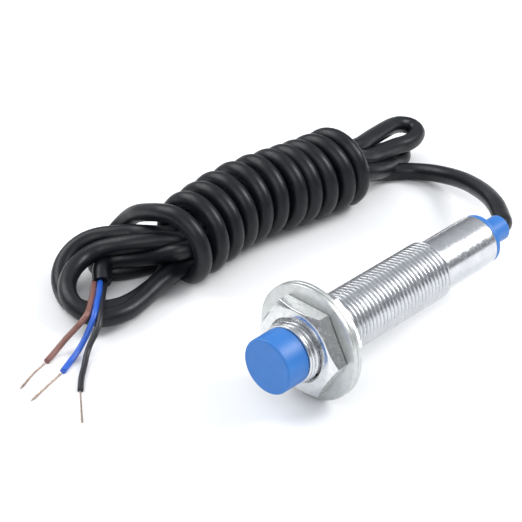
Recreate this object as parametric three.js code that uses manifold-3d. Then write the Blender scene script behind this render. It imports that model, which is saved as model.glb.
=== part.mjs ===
// Inductive proximity sensor: an M12 x 1 threaded barrel with a blue sensing cap, two hex nuts,
// two flat washers, the electronics inside, and a three-core cable tied up in a hank.
// Millimetres. The origin is the centre of the sensing face, the barrel runs along +Y, +Z is up.

import * as THREE from "three";
import { mergeVertices } from "three/addons/utils/BufferGeometryUtils.js";
import Module from "manifold-3d";

const wasm = await Module();
wasm.setup();

// ---- Driving dimensions ----

// Stations along the barrel, measured from the sensing face.
const CAP_END = 5.4;
const BARREL_FRONT = 5.5;
const THREAD_FRONT = 6.2;
const THREAD_REAR = 45.9;
const BARREL_REAR = 60.3;
const REAR_RIM_END = 61.5;
const BOSS_END = 67.6;

// M12 x 1 thread.
const PITCH = 1;
const THREAD_CREST_RADIUS = 5.95;
const THREAD_ROOT_RADIUS = 5.37;
const THREAD_CLEARANCE = 0.15;
const THREAD_CHAMFER = 0.35;
const STEPS_PER_TURN = 20;

// Facets around a turned part: the outer ones are finer than those hidden inside.
const OUTER_FACETS = 40;
const INNER_FACETS = 24;

// Barrel and caps.
const BORE_RADIUS = 4.75;
const SMOOTH_RADIUS = 5.25;
const CAP_RADIUS = 5.55;
const CAP_CHAMFER = 0.45;
const CAP_FRONT_WALL = 1;
const SLEEVE_RADIUS = 4.6;
const CAP_SLEEVE_END = 12;
const CAP_INNER_RADIUS = 4.15;
const REAR_RIM_RADIUS = 5.1;
const BOSS_RADIUS = 2.6;
const BOSS_FILLET = 2.3;
const REAR_SLEEVE_START = 56;
const REAR_HOLLOW_END = 58.8;
const REAR_HOLLOW_RADIUS = 3.9;
const EDGE_BREAK = 0.2;

// Nuts and washers.
const NUT_ACROSS_FLATS = 17;
const NUT_THICKNESS = 3.3;
const NUT_COUNTERSINK = 0.5;
const NUT_FACE_MARGIN = 0.1;
const WASHER_RADIUS = 11.7;
const WASHER_HOLE_RADIUS = 6.25;
const WASHER_THICKNESS = 0.8;
const WASHER_EDGE = 0.12;
const STACK_GAP = 0.1;
const FRONT_NUT_START = 7.6;
const FRONT_NUT_TURN = 58.5;
const REAR_NUT_TURN = 9.5;

// Sensing coil in its ferrite pot core.
const CORE_FRONT = 1.2;
const CORE_REAR = 5.6;
const CORE_RADIUS = 3.95;
const CORE_GROOVE_OUTER = 3.3;
const CORE_GROOVE_END = 4.4;
const CORE_POST_RADIUS = 1.5;
const CORE_HOLE_RADIUS = 0.6;
const CORE_SLOT_LENGTH = 2;
const CORE_SLOT_OFFSET = 3.3;
const CORE_SLOT_START = 4.2;
const COIL_SLOT_WIDTH = 0.8;
const BOBBIN_GAP = 0.15;
const BOBBIN_FLANGE = 0.3;
const BOBBIN_HUB_RADIUS = 1.95;
const BOBBIN_NOTCH_DEPTH = 1.4;
const BOBBIN_NOTCH_OFFSET = 3.1;
const COIL_LEAD_RADIUS = 0.13;
const COIL_LEAD_HEIGHT = 0.7;

// Circuit board.
const BOARD_WIDTH = 7.4;
const BOARD_THICKNESS = 0.8;
const BOARD_FRONT = 9;
const BOARD_REAR = 49;
const BOARD_NOTCH_RADIUS = 0.5;
const MOUNT_GAP = 0.1;
const TOP = 1;
const UNDERSIDE = -1;

// Components: width across the board, length along it, height above it, and where the middle is.
const TUNING_CAPACITOR = { width: 1.6, length: 2.6, height: 1.1, x: 0, y: 13.2, side: TOP };
const FEEDBACK_RESISTOR = { width: 1.25, length: 2, height: 0.5, x: -1.6, y: 24.4, side: TOP };
const BIAS_RESISTOR = { width: 1.25, length: 2, height: 0.5, x: 1.6, y: 24.4, side: TOP };
const FILTER_CAPACITOR = { width: 2.8, length: 3.5, height: 1.9, x: 0, y: 30, side: UNDERSIDE };
const CHIP_CAP_SHARE = 0.18;
const CHIP_CAP_STEP = 0.1;

// Packages with legs: the legs' number, spacing and overall span come after the body.
const OSCILLATOR_CHIP = { width: 3.9, length: 4.9, height: 1.4, y: 19, legs: 4, pitch: 1.27, span: 6 };
const OUTPUT_TRANSISTOR = { width: 2.5, length: 4.5, height: 1.5, y: 36, legs: 3, pitch: 1.5, span: 4.2 };
const LEG_WIDTH = 0.4;
const LEG_THICKNESS = 0.2;
const DIODE = { radius: 0.75, length: 3.4, y: 29.2, capLength: 0.55, capStep: 0.08 };
const LED = { width: 1.6, length: 2.4, baseHeight: 0.7, domeRadius: 0.75, y: 42.6 };

// Potting plug and the conductors that pass it.
const PLUG_FRONT = 50;
const PLUG_REAR = 54.3;
const PLUG_HOLE_RADIUS = 0.8;
const CORE_WIRE_RADIUS = 0.6;
const CORE_WIRE_SPACING = 2.2;
const CORE_WIRE_HEIGHT = 1.15;
const CORE_WIRE_OVERLAP = 3.4;
// Where the three conductors meet the cable's end: their sideways spread and two heights.
const CORE_BUNDLE_SPREAD = 0.72;
const CORE_BUNDLE_TOP = 0.75;
const CORE_BUNDLE_BOTTOM = -0.45;

// Cable, its hank and the free end. Everything that lies on the table rests at TABLE.
const TABLE = -WASHER_RADIUS;
const CABLE_RADIUS = 1.85;
const CABLE_CLEARANCE = 0.1;
const STUB_START = 57.8;
const FACE_GAP = 0.3;
const HANK_RADIUS = 9;
const HANK_EDGE = 2;
const HANK_LEFT = new THREE.Vector2(-46.3, 22.5);
const HANK_RIGHT = new THREE.Vector2(-44.2, 68.5);
const LEFT_LOOPS = { x: -52.5, y: 13.5, halfWidth: 13.5, halfLength: 17.3 };
const RIGHT_LOOPS = { x: -45.5, y: 83, halfWidth: 6.5, halfLength: 15.8 };
const LOOP_HEIGHT = 9;
const STRAND_RADIUS = 0.35;

// ---- Materials ----

function finish(color, roughness, metalness) {
  return new THREE.MeshStandardMaterial({ color, roughness, metalness });
}

const nickel = finish(0xc9ccd0, 0.25, 1);
const zincSteel = finish(0xbfc3c4, 0.35, 1);
const bluePlastic = finish(0x2f7fd6, 0.45, 0);
const ferrite = finish(0x2b2a2c, 0.7, 0.1);
const bobbinPlastic = finish(0xe8e2d0, 0.5, 0);
const enamelledCopper = finish(0xb4622a, 0.35, 0.9);
const boardLaminate = finish(0x1f6b3a, 0.55, 0);
const chipResin = finish(0x1a1a1c, 0.5, 0);
const tantalumResin = finish(0xd9a23a, 0.5, 0);
const ceramic = finish(0xc7a77d, 0.55, 0);
const resistorBody = finish(0x202224, 0.4, 0);
const diodeGlass = finish(0xa33a24, 0.2, 0);
const ledLens = finish(0xd8342c, 0.2, 0);
const pottingResin = finish(0x35373b, 0.6, 0);
const blackJacket = finish(0x15161a, 0.4, 0);
const brownInsulation = finish(0x6b4136, 0.45, 0);
const blueInsulation = finish(0x1f49b0, 0.45, 0);
const blackInsulation = finish(0x1b1b20, 0.45, 0);
const tinnedCopper = finish(0xb39a86, 0.4, 0.9);

// ---- Geometry helpers ----

// A closed three.js geometry as a manifold solid, with its faces turned outwards.
function solidOf(geometry) {
  const bare = geometry.clone();
  bare.deleteAttribute("normal");
  bare.deleteAttribute("uv");
  const merged = mergeVertices(bare, 1e-4);
  const vertProperties = merged.attributes.position.array;
  const triVerts = new Uint32Array(merged.index.array);
  if (signedVolume(vertProperties, triVerts) < 0) {
    triVerts.reverse();
  }
  return new wasm.Manifold(new wasm.Mesh({ numProp: 3, vertProperties, triVerts }));
}

function signedVolume(positions, triangles) {
  const corner = (index) => new THREE.Vector3().fromArray(positions, 3 * index);
  let sum = 0;
  for (let i = 0; i < triangles.length; i += 3) {
    const a = corner(triangles[i]);
    const b = corner(triangles[i + 1]);
    const c = corner(triangles[i + 2]);
    sum += a.dot(b.cross(c)) / 6;
  }
  return sum;
}

function geometryOf(solid) {
  const mesh = solid.getMesh();
  const geometry = new THREE.BufferGeometry();
  geometry.setAttribute("position", new THREE.BufferAttribute(mesh.vertProperties, 3));
  geometry.setIndex(new THREE.BufferAttribute(mesh.triVerts, 1));
  geometry.computeVertexNormals();
  return geometry;
}

const sensor = new THREE.Group();

function addPart(name, solid, material) {
  const mesh = new THREE.Mesh(geometryOf(solid), material);
  mesh.name = name;
  sensor.add(mesh);
}

// A profile of [radius, station] pairs turned about the barrel's axis.
function turned(profile, segments = OUTER_FACETS) {
  const points = profile.map(([radius, station]) => new THREE.Vector2(radius, station));
  return solidOf(new THREE.LatheGeometry(points, segments));
}

function disc(radius, start, end) {
  return turned([[0, start], [radius, start], [radius, end], [0, end]], INNER_FACETS);
}

function block(width, length, height, x, y, z) {
  return solidOf(new THREE.BoxGeometry(width, length, height).translate(x, y, z));
}

// A rod along Y through (x, z).
function rod(radius, start, end, x, z, segments = 12) {
  const geometry = new THREE.CylinderGeometry(radius, radius, end - start, segments);
  return solidOf(geometry.translate(x, (start + end) / 2, z));
}

// A round tube that follows a smooth curve through the given points.
function tube(points, radius, steps, sides = 8) {
  const corners = [];
  for (let i = 0; i < sides; i += 1) {
    const angle = (2 * Math.PI * i) / sides;
    corners.push(new THREE.Vector2(radius * Math.cos(angle), radius * Math.sin(angle)));
  }
  const section = new THREE.Shape(corners);
  const path = new THREE.CatmullRomCurve3(
    points.map((point) => new THREE.Vector3(...point)),
    false,
    "centripetal",
  );
  return solidOf(new THREE.ExtrudeGeometry(section, { steps, extrudePath: path, bevelEnabled: false }));
}

// A right-hand screw about the barrel's axis with a V-shaped thread. Each step adds one vertex in the
// root and one on the crest, and the two ends are closed by a fan of triangles around the axis.
function screw(rootRadius, crestRadius, start, turns) {
  const steps = turns * STEPS_PER_TURN;
  const positions = [];
  const triangles = [];
  const addHelixPoint = (radius, step, rise) => {
    const angle = (2 * Math.PI * step) / STEPS_PER_TURN;
    const station = start + (PITCH * step) / STEPS_PER_TURN + rise;
    positions.push(radius * Math.sin(angle), station, radius * Math.cos(angle));
  };
  for (let step = 0; step <= steps + STEPS_PER_TURN; step += 1) {
    addHelixPoint(rootRadius, step, 0);
  }
  const firstCrest = steps + STEPS_PER_TURN + 1;
  for (let step = 0; step <= steps; step += 1) {
    addHelixPoint(crestRadius, step, PITCH / 2);
  }
  const addQuad = (a, b, c, d) => triangles.push(a, b, c, a, c, d);
  for (let step = 0; step < steps; step += 1) {
    const crest = firstCrest + step;
    const nextRoot = step + STEPS_PER_TURN;
    addQuad(step, step + 1, crest + 1, crest);
    addQuad(crest, crest + 1, nextRoot + 1, nextRoot);
  }
  const addFan = (firstRoot, crest, centreStation, flipped) => {
    const centre = positions.length / 3;
    positions.push(0, centreStation, 0);
    const rim = [];
    for (let step = 0; step <= STEPS_PER_TURN; step += 1) rim.push(firstRoot + step);
    rim.push(crest);
    rim.forEach((vertex, i) => {
      const next = rim[(i + 1) % rim.length];
      triangles.push(centre, ...(flipped ? [vertex, next] : [next, vertex]));
    });
  };
  addFan(0, firstCrest, start, false);
  addFan(steps, firstCrest + steps, start + PITCH * (turns + 1), true);
  const geometry = new THREE.BufferGeometry();
  geometry.setAttribute("position", new THREE.Float32BufferAttribute(positions, 3));
  geometry.setIndex(triangles);
  return solidOf(geometry);
}

// ---- Barrel and caps ----

const THREAD_TURNS = Math.ceil(THREAD_REAR - THREAD_FRONT) + 1;

function makeBarrel() {
  const threaded = screw(THREAD_ROOT_RADIUS, THREAD_CREST_RADIUS, THREAD_FRONT - PITCH, THREAD_TURNS);
  const threadEnvelope = turned([
    [0, BARREL_FRONT],
    [THREAD_CREST_RADIUS, BARREL_FRONT],
    [THREAD_CREST_RADIUS, THREAD_REAR - THREAD_CHAMFER],
    [THREAD_CREST_RADIUS - 2 * THREAD_CHAMFER, THREAD_REAR],
    [0, THREAD_REAR],
  ]);
  const frontCollar = turned([
    [0, BARREL_FRONT],
    [THREAD_CREST_RADIUS - THREAD_CHAMFER, BARREL_FRONT],
    [THREAD_CREST_RADIUS, BARREL_FRONT + THREAD_CHAMFER],
    [THREAD_CREST_RADIUS, THREAD_FRONT],
    [0, THREAD_FRONT + 1],
  ]);
  const smoothEnd = turned([
    [0, THREAD_REAR - 1],
    [SMOOTH_RADIUS, THREAD_REAR - 1],
    [SMOOTH_RADIUS, BARREL_REAR - EDGE_BREAK],
    [SMOOTH_RADIUS - EDGE_BREAK, BARREL_REAR],
    [0, BARREL_REAR],
  ]);
  const bore = disc(BORE_RADIUS, BARREL_FRONT - 1, BARREL_REAR + 1);
  return threaded.intersect(threadEnvelope).add(frontCollar).add(smoothEnd).subtract(bore);
}

// The sensing cap is a stepped cup: its wide front butts on the barrel and its sleeve goes inside.
function makeSensingCap() {
  return turned([
    [0, 0],
    [CAP_RADIUS - CAP_CHAMFER, 0],
    [CAP_RADIUS - CAP_CHAMFER / 3, CAP_CHAMFER / 3],
    [CAP_RADIUS, CAP_CHAMFER],
    [CAP_RADIUS, CAP_END],
    [SLEEVE_RADIUS, CAP_END],
    [SLEEVE_RADIUS, CAP_SLEEVE_END],
    [CAP_INNER_RADIUS, CAP_SLEEVE_END],
    [CAP_INNER_RADIUS, CAP_FRONT_WALL],
    [0, CAP_FRONT_WALL],
  ]);
}

// The rear cap closes the barrel, necks down in a concave fillet and ends in the cable's boss.
function makeRearCap() {
  const profile = [
    [REAR_HOLLOW_RADIUS, REAR_SLEEVE_START],
    [SLEEVE_RADIUS, REAR_SLEEVE_START],
    [SLEEVE_RADIUS, BARREL_REAR + STACK_GAP],
    [REAR_RIM_RADIUS, BARREL_REAR + STACK_GAP],
    [REAR_RIM_RADIUS, REAR_RIM_END - EDGE_BREAK],
    [REAR_RIM_RADIUS - EDGE_BREAK, REAR_RIM_END],
  ];
  const filletSteps = 5;
  for (let i = 1; i <= filletSteps; i += 1) {
    const angle = (Math.PI / 2) * (i / filletSteps);
    profile.push([
      BOSS_RADIUS + BOSS_FILLET * (1 - Math.sin(angle)),
      REAR_RIM_END + BOSS_FILLET * (1 - Math.cos(angle)),
    ]);
  }
  const cableHole = CABLE_RADIUS + CABLE_CLEARANCE;
  profile.push(
    [BOSS_RADIUS, BOSS_END - EDGE_BREAK],
    [BOSS_RADIUS - EDGE_BREAK, BOSS_END],
    [cableHole, BOSS_END],
    [cableHole, REAR_HOLLOW_END],
    [REAR_HOLLOW_RADIUS, REAR_HOLLOW_END],
    [REAR_HOLLOW_RADIUS, REAR_SLEEVE_START],
  );
  return turned(profile);
}

addPart("barrel", makeBarrel(), nickel);
addPart("sensing_cap", makeSensingCap(), bluePlastic);
addPart("rear_cap", makeRearCap(), bluePlastic);

// ---- Nuts and washers ----

const CORNER_RADIUS = NUT_ACROSS_FLATS / Math.sqrt(3);

// A hex nut between two stations. Its corners are chamfered at 30 degrees on the outer face, which
// is the front one or the rear one, and its thread runs in step with the barrel's.
function makeNut(start, cornerAngle, outerFaceInFront) {
  const end = start + NUT_THICKNESS;
  const hexagon = new THREE.CylinderGeometry(CORNER_RADIUS, CORNER_RADIUS, NUT_THICKNESS, 6);
  hexagon.rotateY(THREE.MathUtils.degToRad(90 - cornerAngle));
  hexagon.translate(0, (start + end) / 2, 0);
  const faceRadius = NUT_ACROSS_FLATS / 2 - NUT_FACE_MARGIN;
  const chamferDepth = (CORNER_RADIUS - faceRadius) * Math.tan(Math.PI / 6);
  const outer = outerFaceInFront ? start : end;
  const inward = outerFaceInFront ? 1 : -1;
  const envelope = turned([
    [0, outer],
    [faceRadius, outer],
    [CORNER_RADIUS, outer + inward * chamferDepth],
    [CORNER_RADIUS, outer + inward * (NUT_THICKNESS + 1)],
    [0, outer + inward * (NUT_THICKNESS + 1)],
  ]);
  const threadStart = Math.floor(start - THREAD_FRONT) - 2 + THREAD_FRONT;
  const threadTurns = Math.ceil(NUT_THICKNESS) + 4;
  const threadedHole = screw(
    THREAD_ROOT_RADIUS + THREAD_CLEARANCE,
    THREAD_CREST_RADIUS + THREAD_CLEARANCE,
    threadStart,
    threadTurns,
  );
  const mouthRadius = THREAD_CREST_RADIUS + NUT_COUNTERSINK / 2;
  const countersink = (face, into) => turned([
    [0, face - into * NUT_COUNTERSINK],
    [mouthRadius + NUT_COUNTERSINK, face - into * NUT_COUNTERSINK],
    [mouthRadius - NUT_COUNTERSINK, face + into * NUT_COUNTERSINK],
    [0, face + into * NUT_COUNTERSINK],
  ]);
  return solidOf(hexagon)
    .intersect(envelope)
    .subtract(threadedHole)
    .subtract(countersink(start, 1))
    .subtract(countersink(end, -1));
}

// A flat washer with lightly broken outer edges.
function makeWasher(start) {
  const end = start + WASHER_THICKNESS;
  return turned([
    [WASHER_HOLE_RADIUS, start],
    [WASHER_RADIUS - WASHER_EDGE, start],
    [WASHER_RADIUS, start + WASHER_EDGE],
    [WASHER_RADIUS, end - WASHER_EDGE],
    [WASHER_RADIUS - WASHER_EDGE, end],
    [WASHER_HOLE_RADIUS, end],
    [WASHER_HOLE_RADIUS, start],
  ]);
}

const FRONT_WASHER_START = FRONT_NUT_START + NUT_THICKNESS + STACK_GAP;
const REAR_WASHER_START = FRONT_WASHER_START + WASHER_THICKNESS + STACK_GAP;
const REAR_NUT_START = REAR_WASHER_START + WASHER_THICKNESS + STACK_GAP;

addPart("front_nut", makeNut(FRONT_NUT_START, FRONT_NUT_TURN, true), nickel);
addPart("front_washer", makeWasher(FRONT_WASHER_START), zincSteel);
addPart("rear_washer", makeWasher(REAR_WASHER_START), zincSteel);
addPart("rear_nut", makeNut(REAR_NUT_START, REAR_NUT_TURN, false), nickel);

// ---- Sensing coil ----

// The pot core opens towards the sensing face. Two slots let the coil's ends out at the back.
function makeFerriteCore() {
  const pot = turned([
    [CORE_HOLE_RADIUS, CORE_FRONT],
    [CORE_POST_RADIUS, CORE_FRONT],
    [CORE_POST_RADIUS, CORE_GROOVE_END],
    [CORE_GROOVE_OUTER, CORE_GROOVE_END],
    [CORE_GROOVE_OUTER, CORE_FRONT],
    [CORE_RADIUS, CORE_FRONT],
    [CORE_RADIUS, CORE_REAR],
    [CORE_HOLE_RADIUS, CORE_REAR],
    [CORE_HOLE_RADIUS, CORE_FRONT],
  ], INNER_FACETS);
  const slot = (side) => block(
    CORE_SLOT_LENGTH,
    CORE_SLOT_LENGTH,
    COIL_SLOT_WIDTH,
    side * CORE_SLOT_OFFSET,
    CORE_SLOT_START + CORE_SLOT_LENGTH / 2,
    0,
  );
  return pot.subtract(slot(1)).subtract(slot(-1));
}

const BOBBIN_FRONT = CORE_FRONT + BOBBIN_GAP;
const BOBBIN_REAR = CORE_GROOVE_END - BOBBIN_GAP;

function makeCoilBobbin() {
  const innerRadius = CORE_POST_RADIUS + BOBBIN_GAP;
  const flangeRadius = CORE_GROOVE_OUTER - BOBBIN_GAP;
  const spool = turned([
    [innerRadius, BOBBIN_FRONT],
    [flangeRadius, BOBBIN_FRONT],
    [flangeRadius, BOBBIN_FRONT + BOBBIN_FLANGE],
    [BOBBIN_HUB_RADIUS, BOBBIN_FRONT + BOBBIN_FLANGE],
    [BOBBIN_HUB_RADIUS, BOBBIN_REAR - BOBBIN_FLANGE],
    [flangeRadius, BOBBIN_REAR - BOBBIN_FLANGE],
    [flangeRadius, BOBBIN_REAR],
    [innerRadius, BOBBIN_REAR],
    [innerRadius, BOBBIN_FRONT],
  ], INNER_FACETS);
  const notch = (side) => block(
    BOBBIN_NOTCH_DEPTH,
    2 * BOBBIN_FLANGE,
    COIL_SLOT_WIDTH,
    side * BOBBIN_NOTCH_OFFSET,
    BOBBIN_REAR - BOBBIN_FLANGE / 2,
    0,
  );
  return spool.subtract(notch(1)).subtract(notch(-1));
}

function makeCoilWinding() {
  const front = BOBBIN_FRONT + BOBBIN_FLANGE + MOUNT_GAP;
  const rear = BOBBIN_REAR - BOBBIN_FLANGE - MOUNT_GAP;
  const inner = BOBBIN_HUB_RADIUS + MOUNT_GAP;
  const outer = CORE_GROOVE_OUTER - 3 * MOUNT_GAP;
  const section = [[inner, front], [outer, front], [outer, rear], [inner, rear], [inner, front]];
  return turned(section, INNER_FACETS);
}

// Each coil end leaves the winding through the notch and the slot and lands on the board.
function makeCoilLead(side) {
  return tube([
    [side * 2.75, BOBBIN_REAR - BOBBIN_FLANGE + 0.05, 0],
    [side * 2.85, CORE_REAR + 0.2, 0],
    [side * 2.8, CORE_REAR + 2, COIL_LEAD_HEIGHT - 0.07],
    [side * 2.6, BOARD_FRONT + 0.6, COIL_LEAD_HEIGHT],
    [side * 2.6, BOARD_FRONT + 1.6, COIL_LEAD_HEIGHT],
  ], COIL_LEAD_RADIUS, 12, 6);
}

addPart("ferrite_core", makeFerriteCore(), ferrite);
addPart("coil_bobbin", makeCoilBobbin(), bobbinPlastic);
addPart("coil_winding", makeCoilWinding(), enamelledCopper);
addPart("coil_lead_left", makeCoilLead(-1), enamelledCopper);
addPart("coil_lead_right", makeCoilLead(1), enamelledCopper);

// ---- Circuit board and its components ----

// The board has a half-round notch for each of the cable's three conductors.
function makeCircuitBoard() {
  const length = BOARD_REAR - BOARD_FRONT;
  let board = block(BOARD_WIDTH, length, BOARD_THICKNESS, 0, BOARD_FRONT + length / 2, 0);
  for (const column of [-1, 0, 1]) {
    const notch = new THREE.CylinderGeometry(
      BOARD_NOTCH_RADIUS, BOARD_NOTCH_RADIUS, 2 * BOARD_THICKNESS, 16,
    );
    notch.rotateX(Math.PI / 2);
    notch.translate(column * CORE_WIRE_SPACING, BOARD_REAR, 0);
    board = board.subtract(solidOf(notch));
  }
  return board;
}

// Height of the middle of a component of the given height on the top (1) or bottom (-1) side.
function seatHeight(height, side) {
  return side * (BOARD_THICKNESS / 2 + MOUNT_GAP + height / 2);
}

// A chip component: a body with a slightly larger metal cap at each end.
function makeChip({ width, length, height, x, y, side }) {
  const z = seatHeight(height, side);
  const capLength = length * CHIP_CAP_SHARE;
  const capOffset = (length - capLength) / 2;
  const body = block(width - CHIP_CAP_STEP, length - capLength, height - CHIP_CAP_STEP, x, y, z);
  const cap = (end) => block(width, capLength, height, x, y + end * capOffset, z);
  return body.add(cap(1)).add(cap(-1));
}

// A moulded package with a row of flat legs on each of its long sides.
function makePackage({ width, length, height, y, legs, pitch, span }) {
  const footHeight = seatHeight(LEG_THICKNESS, TOP);
  let made = block(width, length, height, 0, y, seatHeight(height, TOP));
  for (let i = 0; i < legs; i += 1) {
    const legY = y + (i - (legs - 1) / 2) * pitch;
    made = made.add(block(span, LEG_WIDTH, LEG_THICKNESS, 0, legY, footHeight));
  }
  return made;
}

function makeDiode({ radius, length, y, capLength, capStep }) {
  const z = seatHeight(2 * radius, TOP);
  const body = rod(radius - capStep, y - length / 2, y + length / 2, 0, z, 20);
  const endCap = (end) => {
    const near = y + end * (length / 2 - capLength);
    const far = y + (end * length) / 2;
    return rod(radius, Math.min(near, far), Math.max(near, far), 0, z, 20);
  };
  return body.add(endCap(1)).add(endCap(-1));
}

function makeIndicatorLed({ width, length, baseHeight, domeRadius, y }) {
  const base = block(width, length, baseHeight, 0, y, seatHeight(baseHeight, TOP));
  const dome = new THREE.SphereGeometry(domeRadius, 20, 12);
  dome.translate(0, y, BOARD_THICKNESS / 2 + MOUNT_GAP + baseHeight);
  return base.add(solidOf(dome));
}

addPart("circuit_board", makeCircuitBoard(), boardLaminate);
addPart("tuning_capacitor", makeChip(TUNING_CAPACITOR), ceramic);
addPart("oscillator_chip", makePackage(OSCILLATOR_CHIP), chipResin);
addPart("feedback_resistor", makeChip(FEEDBACK_RESISTOR), resistorBody);
addPart("bias_resistor", makeChip(BIAS_RESISTOR), resistorBody);
addPart("protection_diode", makeDiode(DIODE), diodeGlass);
addPart("output_transistor", makePackage(OUTPUT_TRANSISTOR), chipResin);
addPart("indicator_led", makeIndicatorLed(LED), ledLens);
addPart("filter_capacitor", makeChip(FILTER_CAPACITOR), tantalumResin);

// ---- Potting plug, conductors and cable end inside the rear ----

function makePottingPlug() {
  let plug = disc(SLEEVE_RADIUS, PLUG_FRONT, PLUG_REAR);
  for (const column of [-1, 0, 1]) {
    const x = column * CORE_WIRE_SPACING;
    plug = plug.subtract(rod(PLUG_HOLE_RADIUS, PLUG_FRONT - 1, PLUG_REAR + 1, x, CORE_WIRE_HEIGHT, 16));
  }
  return plug;
}

// A conductor runs along the board, through the plug, and joins the others in the cable's end.
function makeCoreWire(column) {
  const x = column * CORE_WIRE_SPACING;
  const endX = column * CORE_BUNDLE_SPREAD;
  const endZ = column === 0 ? CORE_BUNDLE_TOP : CORE_BUNDLE_BOTTOM;
  return tube([
    [x, BOARD_REAR - CORE_WIRE_OVERLAP, CORE_WIRE_HEIGHT],
    [x, BOARD_REAR, CORE_WIRE_HEIGHT],
    [x, PLUG_FRONT + 2, CORE_WIRE_HEIGHT],
    [x, PLUG_REAR + 0.3, CORE_WIRE_HEIGHT],
    [endX, STUB_START - FACE_GAP, endZ],
  ], CORE_WIRE_RADIUS, 14);
}

addPart("potting_plug", makePottingPlug(), pottingResin);
addPart("core_wire_brown", makeCoreWire(-1), brownInsulation);
addPart("core_wire_blue", makeCoreWire(0), blueInsulation);
addPart("core_wire_black", makeCoreWire(1), blackInsulation);
addPart("cable_stub", rod(CABLE_RADIUS, STUB_START, BOSS_END, 0, 0, 24), blackJacket);

// ---- Free cable ----

const LYING_CABLE = TABLE + CABLE_RADIUS;
const LYING_WIRE = TABLE + CORE_WIRE_RADIUS;

// From the boss the cable bends left and down to the table, and comes back to the hank's far end.
function makeCableLead() {
  return tube([
    [0, BOSS_END + FACE_GAP, 0],
    [-0.1, 69.2, 0],
    [-2.6, 72, -0.5],
    [-6.9, 75.5, -1.2],
    [-11.7, 79.3, -2.6],
    [-17.4, 83, -4.4],
    [-23.4, 86.1, -6.3],
    [-28.9, 87.9, -8],
    [-34, 88.1, -9.2],
    [-36.8, 87.3, LYING_CABLE],
  ], CABLE_RADIUS, 24);
}

// The hank's outer shape: the wound middle, and a round-ended outline for the loops at each end.
function makeCableHank() {
  const axis = new THREE.Vector2().subVectors(HANK_RIGHT, HANK_LEFT);
  const woundLength = axis.length();
  const middle = new THREE.Vector2().addVectors(HANK_LEFT, HANK_RIGHT).multiplyScalar(0.5);
  const half = woundLength / 2;
  const profile = [
    [0, -half],
    [HANK_RADIUS - HANK_EDGE, -half],
    [HANK_RADIUS, HANK_EDGE - half],
    [HANK_RADIUS, half - HANK_EDGE],
    [HANK_RADIUS - HANK_EDGE, half],
    [0, half],
  ].map(([radius, station]) => new THREE.Vector2(radius, station));
  const wound = new THREE.LatheGeometry(profile, 32);
  wound.rotateZ(-Math.atan2(axis.x, axis.y));
  wound.translate(middle.x, middle.y, TABLE + HANK_RADIUS);
  const loops = ({ x, y, halfWidth, halfLength }) => {
    const outline = new THREE.Shape().absellipse(x, y, halfWidth, halfLength, 0, 2 * Math.PI);
    const slab = new THREE.ExtrudeGeometry(outline, {
      depth: LOOP_HEIGHT,
      bevelEnabled: false,
      curveSegments: 32,
    });
    return solidOf(slab.translate(0, 0, TABLE));
  };
  return solidOf(wound).add(loops(LEFT_LOOPS)).add(loops(RIGHT_LOOPS));
}

addPart("cable_lead", makeCableLead(), blackJacket);
addPart("cable_hank", makeCableHank(), blackJacket);

// The three conductors come out of the hank on the table, each with a bare stranded end.
const FREE_WIRES = {
  brown: {
    material: brownInsulation,
    insulated: [[-43.2, -5.8], [-43.9, -8.5], [-44, -11.2], [-42.9, -14.8]],
    bare: [[-42.7, -15.4], [-41.6, -19.5], [-39.7, -24.3]],
  },
  blue: {
    material: blueInsulation,
    insulated: [[-41.2, -5], [-41, -7.6], [-40.2, -10.6], [-38.2, -15]],
    bare: [[-38, -15.6], [-36.7, -20.5], [-35.3, -25.6]],
  },
  black: {
    material: blackInsulation,
    insulated: [[-39.1, -4.6], [-38.4, -8.5], [-36.3, -11.6], [-31.3, -17]],
    bare: [[-30.8, -17.5], [-27.3, -20.6], [-23.4, -24]],
  },
};

for (const [color, wire] of Object.entries(FREE_WIRES)) {
  const insulated = wire.insulated.map(([x, y]) => [x, y, LYING_WIRE]);
  const bare = wire.bare.map(([x, y]) => [x, y, LYING_WIRE]);
  addPart(`wire_${color}`, tube(insulated, CORE_WIRE_RADIUS, 8), wire.material);
  addPart(`strands_${color}`, tube(bare, STRAND_RADIUS, 6, 6), tinnedCopper);
}

export default sensor;
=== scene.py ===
"""Looks for the inductive proximity sensor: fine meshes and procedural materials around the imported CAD.

Lengths of the part are millimetres in its own frame and become metres as the pieces are made. The camera,
the floor and the lights are placed in metres.
"""
import math

import bmesh
import bpy
import numpy as np
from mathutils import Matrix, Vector


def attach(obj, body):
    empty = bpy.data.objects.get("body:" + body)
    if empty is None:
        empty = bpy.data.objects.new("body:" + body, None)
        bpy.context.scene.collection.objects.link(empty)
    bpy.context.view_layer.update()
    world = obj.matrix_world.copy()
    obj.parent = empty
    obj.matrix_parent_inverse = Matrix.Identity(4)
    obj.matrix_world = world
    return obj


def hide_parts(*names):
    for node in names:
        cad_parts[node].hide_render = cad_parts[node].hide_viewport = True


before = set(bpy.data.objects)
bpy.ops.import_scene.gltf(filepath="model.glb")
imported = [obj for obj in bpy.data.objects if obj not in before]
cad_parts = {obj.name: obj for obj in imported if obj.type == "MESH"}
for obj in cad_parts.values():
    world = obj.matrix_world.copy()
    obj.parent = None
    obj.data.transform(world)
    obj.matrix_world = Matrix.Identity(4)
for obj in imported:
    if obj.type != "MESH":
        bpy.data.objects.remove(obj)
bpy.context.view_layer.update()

MM = 0.001

# ---- Camera: place, direction and lens fitted to the photograph ----

CAMERA_PLACE = Vector((0.2389348, -0.2569075, 0.2381088))
CAMERA_FORWARD = Vector((-0.58192, 0.62226, -0.52361))
CAMERA_LENS = 162.4
SENSOR_WIDTH = 36


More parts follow.
